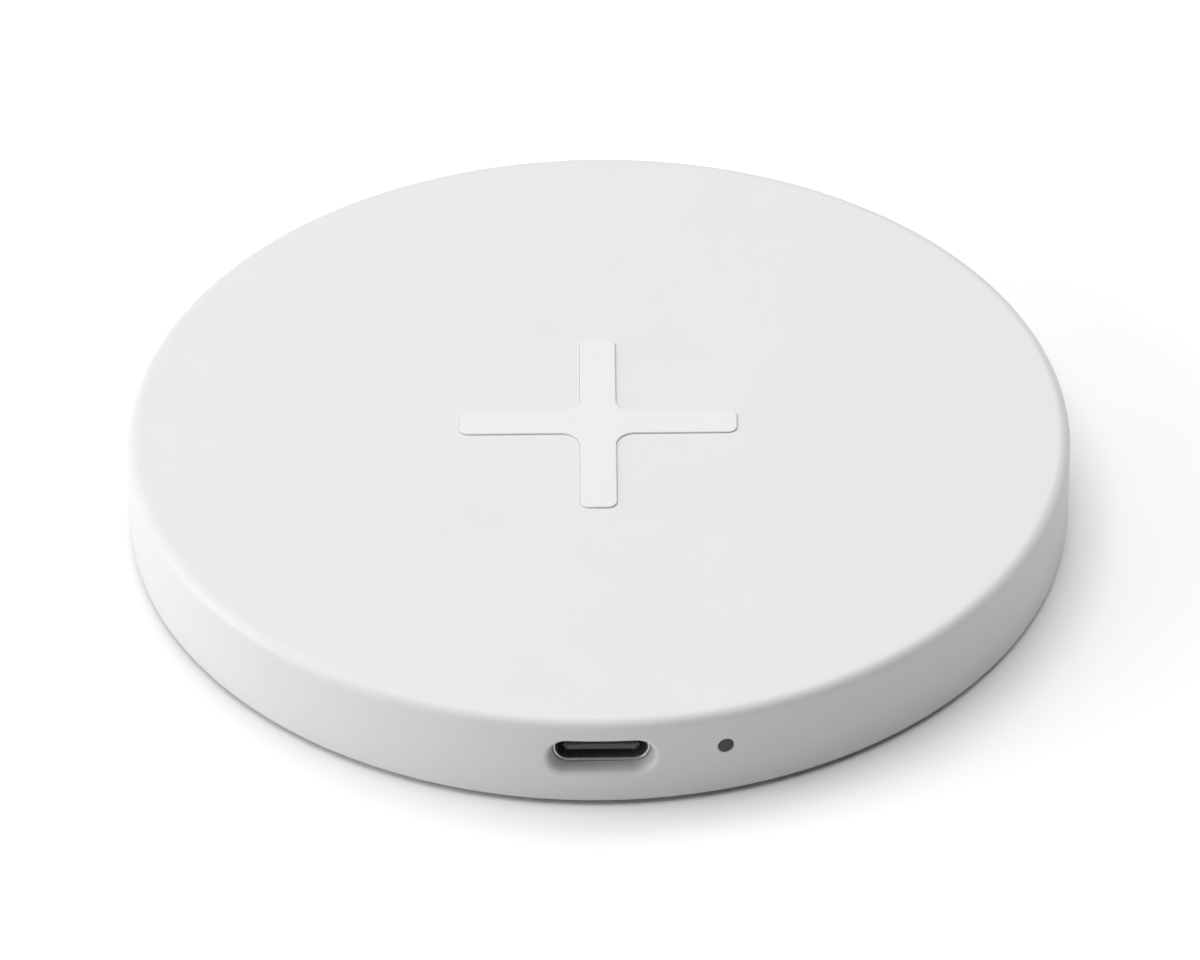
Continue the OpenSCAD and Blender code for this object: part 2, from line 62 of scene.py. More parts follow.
SHELL_LOW, SHELL_HIGH = box_mm("top_shell")
GRIP_LOW, GRIP_HIGH = box_mm("cross_grip")
COVER_LOW, COVER_HIGH = box_mm("bottom_cover")
FOOT_HIGH = box_mm("foot_ring")[1]
SOCKET_LOW, SOCKET_HIGH = box_mm("usb_c_shell")
BOARD_LOW, BOARD_HIGH = box_mm("circuit_board")
FERRITE_LOW, FERRITE_HIGH = box_mm("ferrite_plate")
CEILING = box_mm("coil_adhesive")[1].z

BODY_R = SHELL_HIGH.x
TOP = SHELL_HIGH.z
EDGE = SHELL_LOW.z
TOP_EDGE_R = 1.15
LOWER_EDGE_R = 0.25
INNER_R = BODY_R - 1.6
REBATE_R = BODY_R - 0.95
COVER_R = COVER_HIGH.x
COVER_TOP = COVER_LOW.z + 1.35

SOCKET_W, SOCKET_H, SOCKET_T = 8.94, 3.16, 0.3
SOCKET_FACE = -SOCKET_LOW.y
SOCKET_BACK = -SOCKET_HIGH.y
PORT_Z = SOCKET_HIGH.z - SOCKET_H / 2
POCKET_W, POCKET_H = 9.75, 3.6            # inside the rounded lip, which widens it by LIP_R all round
POCKET_DEPTH = BODY_R - SOCKET_FACE
LIP_R = 0.5
POCKET_FLAT = 0.3                         # the wall's inner face is flat this far behind the socket's face
SURROUND_W = 13.6                         # block inside the wall that holds the socket
SURROUND_FRONT = SOCKET_FACE - 0.18
SURROUND_BACK = 42.0

LIGHT_ANGLE = math.radians(14.5)
LIGHT_Z = EDGE + 5.25
LIGHT_HOLE_R = 0.75

GRIP_HALF = GRIP_HIGH.x
GRIP_HALF_W = 3.45 / 2
GRIP_INNER_R, GRIP_END_R, GRIP_GAP = 1.8, 0.9, 0.04
GRIP_GROOVE = 0.1
GRIP_FLOOR = GRIP_LOW.z

FOOT_OUT = FOOT_HIGH.x
FOOT_IN = FOOT_OUT - 6.0
SCREW_CIRCLE_R = (FOOT_IN + FOOT_OUT) / 2
SCREW_ANGLES = (45, 135, 225, 315)
COVER_SCREWS = [(SCREW_CIRCLE_R * math.cos(math.radians(a)), SCREW_CIRCLE_R * math.sin(math.radians(a)))
                for a in SCREW_ANGLES]
POST_JOINT = COVER_HIGH.z
BOARD_TOP = BOARD_HIGH.z
BOARD_SCREWS = [(-15.5, -35.5), (15.5, -35.5), (0, 29.4)]
GUSSET_T, GUSSET_H = 0.9, 2.2
FENCE_R = FERRITE_HIGH.x + 0.4
FENCE_T = 0.8
SLEEVE_BACK = INNER_R - 1.9
RIB_R = INNER_R - 0.2
RIB_TOP = COVER_TOP + 0.6
TONGUE_W, TONGUE_T = 6.69, 0.7
TONGUE_TIP = SOCKET_FACE - 0.1
MID_PLATE_W, MID_PLATE_T = 6.89, 0.16
CLAMP_SEAT = POST_JOINT - 1.2
COIL_FIRST_R, COIL_PITCH, COIL_HALF_TURNS = 10.75, 1.07, 20
COIL_Z = CEILING - 0.6
LITZ_LAY = 10.0                           # length in which the strands turn once round the core
LITZ_SMOOTH = math.radians(80)

COLUMNS = 720                             # points round the wall
WALL_ROWS = 18                            # rows of faces down the wall


# ---- mesh tools ----

def mesh_object(name, verts, faces, angle=SMOOTH_ANGLE):
    """Mesh object from points in millimetres, smooth except at edges sharper than the angle."""
    mesh = bpy.data.meshes.new(name)
    mesh.from_pydata([(x * MM, y * MM, z * MM) for x, y, z in verts], [], faces)
    bm = bmesh.new()
    bm.from_mesh(mesh)
    bmesh.ops.recalc_face_normals(bm, faces=bm.faces)
    bm.to_mesh(mesh)
    bm.free()
    obj = bpy.data.objects.new(name, mesh)
    bpy.context.scene.collection.objects.link(obj)
    shade(obj, angle)
    return obj


def shade(obj, angle=SMOOTH_ANGLE):
    """Smooth shading that breaks at edges sharper than the angle."""
    for polygon in obj.data.polygons:
        polygon.use_smooth = True
    obj.data.set_sharp_from_angle(angle=angle)


def boolean(obj, tool, operation):
    """Applies a boolean with a tool object to obj, and deletes the tool."""
    modifier = obj.modifiers.new("boolean", "BOOLEAN")
    modifier.operation = operation
    modifier.object = tool
    modifier.solver = "MANIFOLD"
    graph = bpy.context.evaluated_depsgraph_get()
    mesh = bpy.data.meshes.new_from_object(obj.evaluated_get(graph))
    obj.modifiers.clear()
    old, obj.data = obj.data, mesh
    mesh.name = obj.name
    bpy.data.meshes.remove(old)
    bpy.data.objects.remove(tool)
    shade(obj)


def arc(cx, cy, r, a, b, steps):
    """Points of an arc about (cx, cy) from angle a to angle b, in degrees."""
    out = []
    for i in range(steps + 1):
        t = math.radians(a + (b - a) * i / steps)
        out.append((cx + r * math.cos(t), cy + r * math.sin(t)))
    return out


class Builder:
    """Collects points and faces of one mesh."""

    def __init__(self):
        self.verts = []
        self.faces = []

    def ring(self, points):
        """Adds a loop of points and returns their indices."""
        start = len(self.verts)
        self.verts.extend(points)
        return list(range(start, len(self.verts)))

    def bridge(self, a, b):
        """Quads between two loops of the same length."""
        n = len(a)
        for i in range(n):
            j = (i + 1) % n
            self.faces.append((a[i], a[j], b[j], b[i]))

    def cap(self, a):
        """One flat face over a loop."""
        self.faces.append(tuple(a))

    def stack(self, loops, closed=False):
        """Bridges a list of loops of points in turn, and returns the index loops."""
        rings = [self.ring(points) for points in loops]
        for a, b in zip(rings, rings[1:]):
            self.bridge(a, b)
        if closed:
            self.bridge(rings[-1], rings[0])
        return rings

    def solid(self, loops):
        """Bridges the loops and closes both ends with flat faces."""
        rings = self.stack(loops)
        self.cap(rings[0])
        self.cap(rings[-1])

    def object(self, name, angle=SMOOTH_ANGLE):
        """Makes the mesh object."""
        return mesh_object(name, self.verts, self.faces, angle)


def circle_points(r, z, n, cx=0.0, cy=0.0):
    """Loop of n points round the vertical axis, starting at the front (-Y) and turning to +X."""
    out = []
    for i in range(n):
        a = 2 * math.pi * i / n
        out.append((cx + r * math.sin(a), cy - r * math.cos(a), z))
    return out


def lathe(name, profile, n):
    """Solid of revolution from a closed profile of (radius, height)."""
    b = Builder()
    b.stack([circle_points(r, z, n) for r, z in profile], closed=True)
    return b.object(name)


def cylinder_tool(r, z0, z1, x, y, n=48):
    """Upright cylinder for use as a boolean tool."""
    b = Builder()
    b.solid([circle_points(r, z0, n, x, y), circle_points(r, z1, n, x, y)])
    return b.object("tool")


def standing_ring(outer_r, thickness, z0, z1):
    """Ring-shaped wall for use as a boolean tool."""
    inner_r = outer_r - thickness
    return lathe("tool", [(inner_r, z0), (outer_r, z0), (outer_r, z1), (inner_r, z1)], 240)


def block_tool(low, high, turn=0.0):
    """Block between two corners for use as a boolean tool, turned about the vertical axis."""
    b = Builder()
    loops = []
    for z in (low[2], high[2]):
        corners = [(low[0], low[1]), (high[0], low[1]), (high[0], high[1]), (low[0], high[1])]
        loops.append([(x * math.cos(turn) - y * math.sin(turn), x * math.sin(turn) + y * math.cos(turn), z)
                      for x, y in corners])
    b.solid(loops)
    return b.object("tool")


def on_wall(u, z, depth=0.0):
    """Point on the round wall: u along the arc from the front towards +X, depth inwards."""
    a = u / BODY_R
    r = BODY_R - depth
    return (r * math.sin(a), -r * math.cos(a), z)


def obround_at(f, w, h):
    """Point at fraction f of the way round an obround of width w and height h, from the lower middle."""
    straight = w - h
    r = h / 2
    s = (f % 1.0) * (2 * straight + 2 * math.pi * r)
    parts = (straight / 2, math.pi * r, straight, math.pi * r, straight / 2)
    if s < parts[0]:
        return (s, -r)
    s -= parts[0]
    if s < parts[1]:
        a = s / r - math.pi / 2
        return (straight / 2 + r * math.cos(a), r * math.sin(a))
    s -= parts[1]
    if s < parts[2]:
        return (straight / 2 - s, r)
    s -= parts[2]
    if s < parts[3]:
        a = s / r + math.pi / 2
        return (-straight / 2 + r * math.cos(a), r * math.sin(a))
    s -= parts[3]
    return (s - straight / 2, -r)


def cross_loop(grow, z):
    """Loop round the cross outline, grown outwards, at height z."""
    half_l = GRIP_HALF + grow
    half_w = GRIP_HALF_W + grow
    end_r = GRIP_END_R + grow
    inner = GRIP_INNER_R - grow
    quarter = arc(half_l - end_r, end_r - half_w, end_r, -90, 0, 10)
    quarter += arc(half_l - end_r, half_w - end_r, end_r, 0, 90, 10)
    quarter += arc(half_w + inner, half_w + inner, inner, 270, 180, 14)
    out = []
    for turn in range(4):
        c, s = (1, 0, -1, 0)[turn], (0, 1, 0, -1)[turn]
        out += [(x * c - y * s, x * s + y * c, z) for x, y in quarter]
    return out


# ---- shell ----

def wall_patch(b, loop, centre_u, centre_z, outlines, levels):
    """Fills a gap in the wall's grid, from its edge to an opening, and goes down into the opening.

    loop holds the grid's indices round the gap with their (u, z), starting at the lower middle. outlines is
    a list of (width, height, depth) from the surface inwards. Returns the innermost ring.
    """
    edge = [index for index, _ in loop]
    places = [place for _, place in loop]
    fractions = ring_fractions(loop)
    w, h, _ = outlines[0]
    mouth = [obround_at(f, w, h) for f in fractions]
    previous = edge
    for level in range(1, levels + 1):
        t = level / levels
        ring = b.ring([on_wall(p[0] + (centre_u + m[0] - p[0]) * t, p[1] + (centre_z + m[1] - p[1]) * t)
                       for p, m in zip(places, mouth)])
        b.bridge(previous, ring)
        previous = ring
    for w, h, depth in outlines[1:]:
        points = []
        for f in fractions:
            x, z = obround_at(f, w, h)
            points.append(on_wall(centre_u + x, centre_z + z, depth))
        ring = b.ring(points)
        b.bridge(previous, ring)
        previous = ring
    return previous


def gap_loop(rows, columns, first_row, last_row):
    """Grid indices and (u, z) round a rectangular gap, from the middle of its lower edge towards +X.

    rows holds the wall's (z, indices) from the top down. columns is (first, middle, last).
    """
    first, middle, last = columns
    low, high = rows[last_row], rows[first_row]
    step = 2 * math.pi * BODY_R / COLUMNS
    path = [(low, c) for c in range(middle, last)]
    path += [(rows[r], last) for r in range(last_row, first_row, -1)]
    path += [(high, c) for c in range(last, first, -1)]
    path += [(rows[r], first) for r in range(first_row, last_row)]
    path += [(low, c) for c in range(first, middle)]
    return [(row[1][c % COLUMNS], (c * step, row[0])) for row, c in path]


def lip(w, h, r, steps):
    """Outlines of a rounded lip, from the surface down to the opening's own outline."""
    out = []
    for i in range(steps + 1):
        t = math.radians(90 * i / steps)
        grow = 2 * r * (1 - math.sin(t))
        out.append((w + grow, h + grow, r * (1 - math.cos(t))))
    return out


def shell_skin():
    """Closed skin of the shell, with blind openings for the socket and the light."""
    b = Builder()
    rim = BODY_R - TOP_EDGE_R
    wall_top = TOP - TOP_EDGE_R
    wall_low = EDGE + LOWER_EDGE_R
    over = [(rim - 0.5, TOP)] + arc(rim, wall_top, TOP_EDGE_R, 90, 0, 14)
    rings = b.stack([circle_points(r, z, COLUMNS) for r, z in over])
    top_ring = rings[0]

    rows = [(wall_top, rings[-1])]
    for k in range(1, WALL_ROWS + 1):
        z = wall_top + (wall_low - wall_top) * k / WALL_ROWS
        rows.append((z, b.ring(circle_points(BODY_R, z, COLUMNS))))
    # gaps left in the wall's grid: their first, middle and last column, and their first and last row
    port_columns, port_rows = (-18, 0, 18), (0, 14)
    light_column = round(LIGHT_ANGLE / (2 * math.pi) * COLUMNS)
    light_columns, light_rows = (light_column - 4, light_column, light_column + 4), (3, 9)
    for k in range(WALL_ROWS):
        for c in range(COLUMNS):
            signed = c if c < COLUMNS / 2 else c - COLUMNS
            in_port = port_columns[0] <= signed < port_columns[2] and port_rows[0] <= k < port_rows[1]
            in_light = light_columns[0] <= signed < light_columns[2] and light_rows[0] <= k < light_rows[1]
            if not in_port and not in_light:
                d = (c + 1) % COLUMNS
                b.faces.append((rows[k][1][c], rows[k][1][d], rows[k + 1][1][d], rows[k + 1][1][c]))

    # the pocket narrows from its lip to a floor round the socket; its blind hole is opened by make_shell
    floor_w, floor_h = SOCKET_W + 0.2, SOCKET_H + 0.3
    hole_w, hole_h = SOCKET_W + 0.1, SOCKET_H + 0.1
    outlines = lip(POCKET_W, POCKET_H, LIP_R, 6)
    outlines += [(floor_w + (POCKET_W - floor_w) * t, floor_h + (POCKET_H - floor_h) * t,
                  POCKET_DEPTH + (LIP_R - POCKET_DEPTH) * t) for t in (0.75, 0.5, 0.25, 0.0)]
    loop = gap_loop(rows, port_columns, *port_rows)
    ring = wall_patch(b, loop, 0.0, PORT_Z, outlines, 8)
    fractions = ring_fractions(loop)
    for w, h, y in ((floor_w, floor_h, SOCKET_FACE), (hole_w, hole_h, SOCKET_FACE),
                    (hole_w, hole_h, SOCKET_FACE - 0.05)):
        flat = b.ring([(x, -y, PORT_Z + z) for x, z in (obround_at(f, w, h) for f in fractions)])
        b.bridge(ring, flat)
        ring = flat
    b.cap(ring)

    d, light_lip_r, blind_depth = 2 * LIGHT_HOLE_R, 0.06, 1.5
    outlines = lip(d, d, light_lip_r, 3) + [(d, d, blind_depth)]
    loop = gap_loop(rows, light_columns, *light_rows)
    b.cap(wall_patch(b, loop, BODY_R * LIGHT_ANGLE, LIGHT_Z, outlines, 5))

    bevel, ceiling_r = 0.12, 0.3
    under = arc(BODY_R - LOWER_EDGE_R, wall_low, LOWER_EDGE_R, 0, -90, 5)[1:]
    under += [(REBATE_R + bevel, EDGE), (REBATE_R, EDGE + bevel), (REBATE_R, COVER_TOP), (INNER_R, COVER_TOP)]
    under += arc(INNER_R - ceiling_r, CEILING - ceiling_r, ceiling_r, 0, 90, 4)
    flat_back = POCKET_FLAT - SOCKET_FACE
    inside = []
    for r, z in under:
        points = circle_points(r, z, COLUMNS)
        if r <= INNER_R:
            points = [(x, max(y, flat_back), z) for x, y, z in points]
        inside.append(b.ring(points))
    for ring_a, ring_b in zip([rows[-1][1]] + inside, inside):
        b.bridge(ring_a, ring_b)
    b.cap(inside[-1])

    # the two outer loops on the flat keep the shading of the recess's lip away from the top face
    lip_r = 0.04
    recess = [cross_loop(GRIP_GAP + 4 * lip_r, TOP), cross_loop(GRIP_GAP + 2 * lip_r, TOP)]
    recess += [cross_loop(GRIP_GAP + lip_r * (1 - math.sin(t)), TOP - lip_r * (1 - math.cos(t)))
               for t in (math.radians(30 * i) for i in range(4))]
    recess.append(cross_loop(GRIP_GAP, GRIP_FLOOR))
    rings = b.stack(recess)
    b.cap(rings[-1])
    return b, top_ring, rings[0]


def ring_fractions(loop):
    """How far round a gap's edge each of its points lies, from 0 to 1."""
    places = [place for _, place in loop]
    lengths = [0.0]
    for p, q in zip(places, places[1:] + places[:1]):
        lengths.append(lengths[-1] + math.dist(p, q))
    return [s / lengths[-1] for s in lengths[:-1]]


def fill_between(obj, rings):
    """Fills the flat area between loops of the object's vertices with triangles."""
    bm = bmesh.new()
    bm.from_mesh(obj.data)
    bm.verts.ensure_lookup_table()
    edges = []
    for ring in rings:
        for i, j in zip(ring, ring[1:] + ring[:1]):
            edges.append(bm.edges.get((bm.verts[i], bm.verts[j])))
    bmesh.ops.triangle_fill(bm, use_beauty=True, use_dissolve=False, edges=edges)
    bmesh.ops.recalc_face_normals(bm, faces=bm.faces)
    bm.to_mesh(obj.data)
    bm.free()
    shade(obj)


def make_shell():
    """Shell: the skin, with the posts, gussets, fence, surround and sleeve that stand inside it."""
    b, outer, inner = shell_skin()
    shell = b.object("shell_moulding")
    fill_between(shell, [outer, inner])
    root = CEILING + 0.2
    post_r, card_post_r, sleeve_r = 2.7, 2.3, 1.5
    hole_r, card_hole_r = 1.0, 0.8
    for x, y in COVER_SCREWS:
        boolean(shell, cylinder_tool(post_r, POST_JOINT, root, x, y), "UNION")
    for x, y in BOARD_SCREWS:
        boolean(shell, cylinder_tool(card_post_r, BOARD_TOP, root, x, y), "UNION")
    for a in SCREW_ANGLES:
        low = (SCREW_CIRCLE_R, -GUSSET_T / 2, CEILING - GUSSET_H)
        high = (INNER_R + 0.2, GUSSET_T / 2, root)
        boolean(shell, block_tool(low, high, math.radians(a)), "UNION")
    fence = standing_ring(FENCE_R + FENCE_T, FENCE_T, FERRITE_LOW.z, root)
    gap_for_leads = block_tool((-7, -FENCE_R - 2, 0), (7, -FENCE_R + 4, CEILING))
    boolean(fence, gap_for_leads, "DIFFERENCE")
    boolean(shell, fence, "UNION")
    surround = block_tool((-SURROUND_W / 2, -SURROUND_FRONT, COVER_TOP + 0.4),
                          (SURROUND_W / 2, -SURROUND_BACK, root))
    boolean(shell, surround, "UNION")
    boolean(shell, along_light(sleeve_r, SLEEVE_BACK, INNER_R + 0.07), "UNION")
    boolean(shell, obround_tool(SOCKET_W + 0.08, SOCKET_H + 0.08, SURROUND_BACK - 1, SOCKET_FACE - 0.03),
            "DIFFERENCE")
    boolean(shell, along_light(LIGHT_HOLE_R - 0.02, SLEEVE_BACK - 1, BODY_R - 1.48), "DIFFERENCE")
    for x, y in COVER_SCREWS:
        boolean(shell, cylinder_tool(hole_r, POST_JOINT - 0.5, POST_JOINT + 3.1, x, y), "DIFFERENCE")
    for x, y in BOARD_SCREWS:
        boolean(shell, cylinder_tool(card_hole_r, BOARD_TOP - 0.5, BOARD_TOP + 3.0, x, y), "DIFFERENCE")
    return shell


def along_light(r, a, b, n=48):
    """Cylinder along the light's axis, from radius a to radius b of the pad."""
    out = Vector((math.sin(LIGHT_ANGLE), -math.cos(LIGHT_ANGLE), 0))
    side = Vector((math.cos(LIGHT_ANGLE), math.sin(LIGHT_ANGLE), 0))
    builder = Builder()
    up = Vector((0, 0, 1))
    turns = [2 * math.pi * i / n for i in range(n)]
    loops = []
    for distance in (a, b):
        centre = out * distance + up * LIGHT_Z
        loops.append([tuple(centre + side * r * math.cos(t) + up * (r * math.sin(t))) for t in turns])
    builder.solid(loops)
    return builder.object("tool")


def obround_ring(w, h, distance, n=96):
    """Loop of an obround in the socket's frame, at a distance in front of the pad's axis."""
    return [(x, -distance, PORT_Z + z) for x, z in (obround_at(i / n, w, h) for i in range(n))]


def obround_tool(w, h, a, b):
    """Obround bar between two distances in front of the pad's axis."""
    builder = Builder()
    builder.solid([obround_ring(w, h, a), obround_ring(w, h, b)])
    return builder.object("tool")


# ---- grip, cover and foot ----

def make_grip():
    """Cross inlay with a softly rounded upper edge; a collar fills its recess below the fine groove."""
    r, collar = 0.11, GRIP_GAP - 0.004
    loops = [cross_loop(-0.05, GRIP_FLOOR), cross_loop(collar, GRIP_FLOOR + 0.05),
             cross_loop(collar, TOP - GRIP_GROOVE), cross_loop(0, TOP - GRIP_GROOVE)]
    for i in range(6):
        t = math.radians(90 * i / 5)
        loops.append(cross_loop(-r * (1 - math.cos(t)), GRIP_HIGH.z - r * (1 - math.sin(t))))
    loops += [cross_loop(-r - inset, GRIP_HIGH.z) for inset in (0.1, 0.2)]
    b = Builder()
    b.solid(loops)
    return b.object("grip_inlay")


def make_cover():
    """Bottom cover: a disc with a groove for the foot ring, screw bosses, a spigot rib and a board rest."""
    low, soft = COVER_LOW.z, 0.12
    groove_in, groove_out = FOOT_IN - 0.15, FOOT_OUT + 0.15
    groove_top = low + 0.65
    profile = [(0.001, low)]
    profile += arc(groove_in - soft, low + soft, soft, 270, 360, 4)
    profile += [(groove_in, groove_top), (groove_out, groove_top)]
    profile += arc(groove_out + soft, low + soft, soft, 180, 270, 4)
    profile += arc(COVER_R - 0.2, low + 0.2, 0.2, 270, 360, 4)
    profile += [(COVER_R, COVER_TOP), (0.001, COVER_TOP)]
    cover = lathe("cover_moulding", profile, 360)
    root, rib_t, rib_gap = COVER_TOP - 0.2, 0.8, 7.8
    boss_r, head_hole_r, shank_hole_r = 3.3, 2.15, 1.2
    for x, y in COVER_SCREWS:
        boolean(cover, cylinder_tool(boss_r, root, POST_JOINT, x, y), "UNION")
    rib = standing_ring(RIB_R, rib_t, root, RIB_TOP)
    gap_for_socket = block_tool((-rib_gap, -BODY_R, COVER_TOP), (rib_gap, -BODY_R + 6, COVER_TOP + 2))
    boolean(rib, gap_for_socket, "DIFFERENCE")
    boolean(cover, rib, "UNION")
    boolean(cover, standing_ring(FERRITE_HIGH.x, rib_t, root, BOARD_LOW.z - 0.1), "UNION")
    for x, y in COVER_SCREWS:
        boolean(cover, cylinder_tool(head_hole_r, low, CLAMP_SEAT, x, y), "DIFFERENCE")
        boolean(cover, cylinder_tool(shank_hole_r, low, POST_JOINT + 0.5, x, y), "DIFFERENCE")
    return cover


def make_foot():
    """Silicone ring with rounded edges and three shallow grooves in its sole."""
    r, groove = 0.35, 0.12
    profile = arc(FOOT_IN + r, r, r, 180, 270, 5)
    mouth, bottom = 0.25, 0.15
    for k in (1, 2, 3):
        middle = FOOT_IN + (FOOT_OUT - FOOT_IN) * k / 4
        profile += [(middle - mouth, 0), (middle - bottom, groove),
                    (middle + bottom, groove), (middle + mouth, 0)]
    profile += arc(FOOT_OUT - r, r, r, 270, 360, 5)
    profile += [(FOOT_OUT, FOOT_HIGH.z), (FOOT_IN, FOOT_HIGH.z)]
    return lathe("foot_ring_sole", profile, 360)


# ---- socket ----

def make_socket():
    """Stamped shell of the socket, with a half-round front edge and four legs."""
    t = SOCKET_T
    b = Builder()
    loops = [obround_ring(SOCKET_W, SOCKET_H, SOCKET_BACK)]
    for i in range(9):
        a = math.radians(180 * i / 8)
        shrink = t * (1 - math.cos(a))
        front = SOCKET_FACE - t / 2 * (1 - math.sin(a))
        loops.append(obround_ring(SOCKET_W - shrink, SOCKET_H - shrink, front))
    loops.append(obround_ring(SOCKET_W - 2 * t, SOCKET_H - 2 * t, SOCKET_BACK))
    b.stack(loops, closed=True)
    socket = b.object("socket_shell")
    leg_in, leg_out, leg_half_w = 4.12, 4.42, 0.55
    for side in (-1, 1):
        for inset in (2.9, 6.0):
            y = inset - SOCKET_FACE
            x_low, x_high = sorted((side * leg_in, side * leg_out))
            leg = block_tool((x_low, y - leg_half_w, SOCKET_LOW.z), (x_high, y + leg_half_w, PORT_Z - 0.3))
            boolean(socket, leg, "UNION")
    return socket


def bar_ring(w, h, r, distance, n=8):
    """Loop of a rectangle with rounded corners in the socket's frame."""
    corners = [(w / 2 - r, r - h / 2, -90), (w / 2 - r, h / 2 - r, 0), (r - w / 2, h / 2 - r, 90),
               (r - w / 2, r - h / 2, 180)]
    points = []
    for cx, cz, start in corners:
        points += arc(cx, cz, r, start, start + 90, n)
    return [(x, -distance, PORT_Z + z) for x, z in points]


def make_tongue():
    """Insulator: the block that closes the socket, a step, and the tongue with a chamfered tip."""
    inside_w = SOCKET_W - 2 * SOCKET_T - 0.04
    inside_h = SOCKET_H - 2 * SOCKET_T - 0.04
    block = Builder()
    block.solid([obround_ring(inside_w, inside_h, SOCKET_BACK),
                 obround_ring(inside_w, inside_h, SOCKET_BACK + 1.4)])
    tongue = block.object("socket_tongue")
    step_w, step_h, step_r, bevel = 7.2, 1.5, 0.15, 0.1
    step = Builder()
    step.solid([bar_ring(step_w, step_h, step_r, SOCKET_BACK + 1),
                bar_ring(step_w, step_h, step_r, SOCKET_BACK + 2.5),
                bar_ring(step_w - 2 * bevel, step_h - 2 * bevel, step_r, SOCKET_BACK + 2.5 + bevel)])
    boolean(tongue, step.object("tool"), "UNION")
    edge_r = 0.08
    sections = [(0, 0, SOCKET_BACK + 2), (0, 0, TONGUE_TIP - 0.3), (0.3, 0.06, TONGUE_TIP - 0.08),
                (0.42, 0.14, TONGUE_TIP - 0.02), (0.5, 0.2, TONGUE_TIP)]
    blade = Builder()
    blade.solid([bar_ring(TONGUE_W - narrower, TONGUE_T - thinner, edge_r, distance)
                 for narrower, thinner, distance in sections])
    boolean(tongue, blade.object("tool"), "UNION")
    slot = Builder()
    slot.solid([bar_ring(MID_PLATE_W, MID_PLATE_T, 0.001, SOCKET_BACK + 1.2, 1),
                bar_ring(MID_PLATE_W, MID_PLATE_T, 0.001, TONGUE_TIP - 0.3, 1)])
    boolean(tongue, slot.object("tool"), "DIFFERENCE")
    return tongue


# ---- screws and winding ----

def make_screws(name, places, seat, d, length, head_d, head_h, pitch, turns=24, rows=8):
    """Screws that point up from the underside of their heads, with a cross recess and a helical thread.

    turns is the number of points round the shank, and rows the number of loops for each pitch of the thread.
    """
    core, crest, plain_tip = 0.39 * d, d / 2 - 0.02, 0.35
    thread_end = length - plain_tip
    count = int(length / pitch * rows)
    loops = []
    for k in range(count + 1):
        z = length * k / count
        taper = min(1.0, z / pitch, (thread_end - z) / pitch) if z < thread_end else 0.0
        point = min(1.0, 0.5 + (length - z) / 0.7)
        loop = []
        for i in range(turns):
            a = 2 * math.pi * i / turns
            phase = (z / pitch - i / turns) % 1.0
            ridge = max(0.0, 1 - abs(phase - 0.5) / 0.3)
            r = core * point + (crest - core) * min(1.0, 1.4 * ridge) * max(0.0, taper)
            loop.append((r * math.cos(a), r * math.sin(a), z))
        loops.append(loop)
    shank = Builder()
    shank.solid([[(x, y, -0.1) for x, y, _ in loops[0]]] + loops)
    soft = 0.12
    profile = [(0.001, -head_h)] + arc(0.43 * head_d - soft, soft - head_h, soft, 270, 350, 4)
    profile += arc(head_d / 2 - soft, -soft, soft, 10, 90, 4) + [(0.001, 0)]
    head = lathe("head", profile, 64)
    for turn in (0, math.pi / 2):
        half_l, half_w, deep = 0.275 * head_d, 0.075 * head_d, 0.55 * head_h
        boolean(head, block_tool((-half_l, -half_w, -head_h - 0.5), (half_l, half_w, deep - head_h), turn),
                "DIFFERENCE")
    boolean(head, shank.object("tool"), "UNION")
    points = [Vector(v.co) / MM for v in head.data.vertices]
    faces = [tuple(p.vertices) for p in head.data.polygons]
    bpy.data.objects.remove(head)
    verts, copies = [], []
    for x, y in places:
        start = len(verts)
        verts += [(p.x + x, p.y + y, p.z + seat) for p in points]
        copies += [tuple(i + start for i in face) for face in faces]
    return mesh_object(name, verts, copies)


def coil_path(first_r, pitch, half_turns, z, steps):
    """Middle of the wire of the spiral, in half-turns about two centres by turns, from the front."""
    path = []
    for half in range(half_turns):
        odd = half % 2
        r = first_r + half * pitch / 2
        for k in range(steps):
            a = math.pi * (k / steps + odd)
            x, y = odd * pitch / 2 + r * math.cos(a), r * math.sin(a)
            path.append(Vector((y, -x, z)))
    last_r = first_r + half_turns * pitch / 2
    return path + [Vector((0, -last_r, z))]


def lead_path(start, turn, moves):
    """Middle of a lead: bends as (radius, angle, roll) and straight runs as a length, from a start."""
    place, frame_now = Vector(start), Matrix.Rotation(turn, 3, "Y")
    path = [place.copy()]
    for move in moves:
        if isinstance(move, tuple):
            r, angle, roll = move[0], math.radians(move[1]), math.radians(move[2])
            frame_now = frame_now @ Matrix.Rotation(roll, 3, "Z")
            steps = 12
            for k in range(1, steps + 1):
                a = angle * k / steps
                path.append(place + frame_now @ Vector((r * (1 - math.cos(a)), 0, r * math.sin(a))))
            place = path[-1].copy()
            frame_now = frame_now @ Matrix.Rotation(angle, 3, "Y")
        else:
            steps = max(2, round(move / 0.8))
            for k in range(1, steps + 1):
                path.append(place + frame_now @ Vector((0, 0, move * k / steps)))
            place = path[-1].copy()
    return path


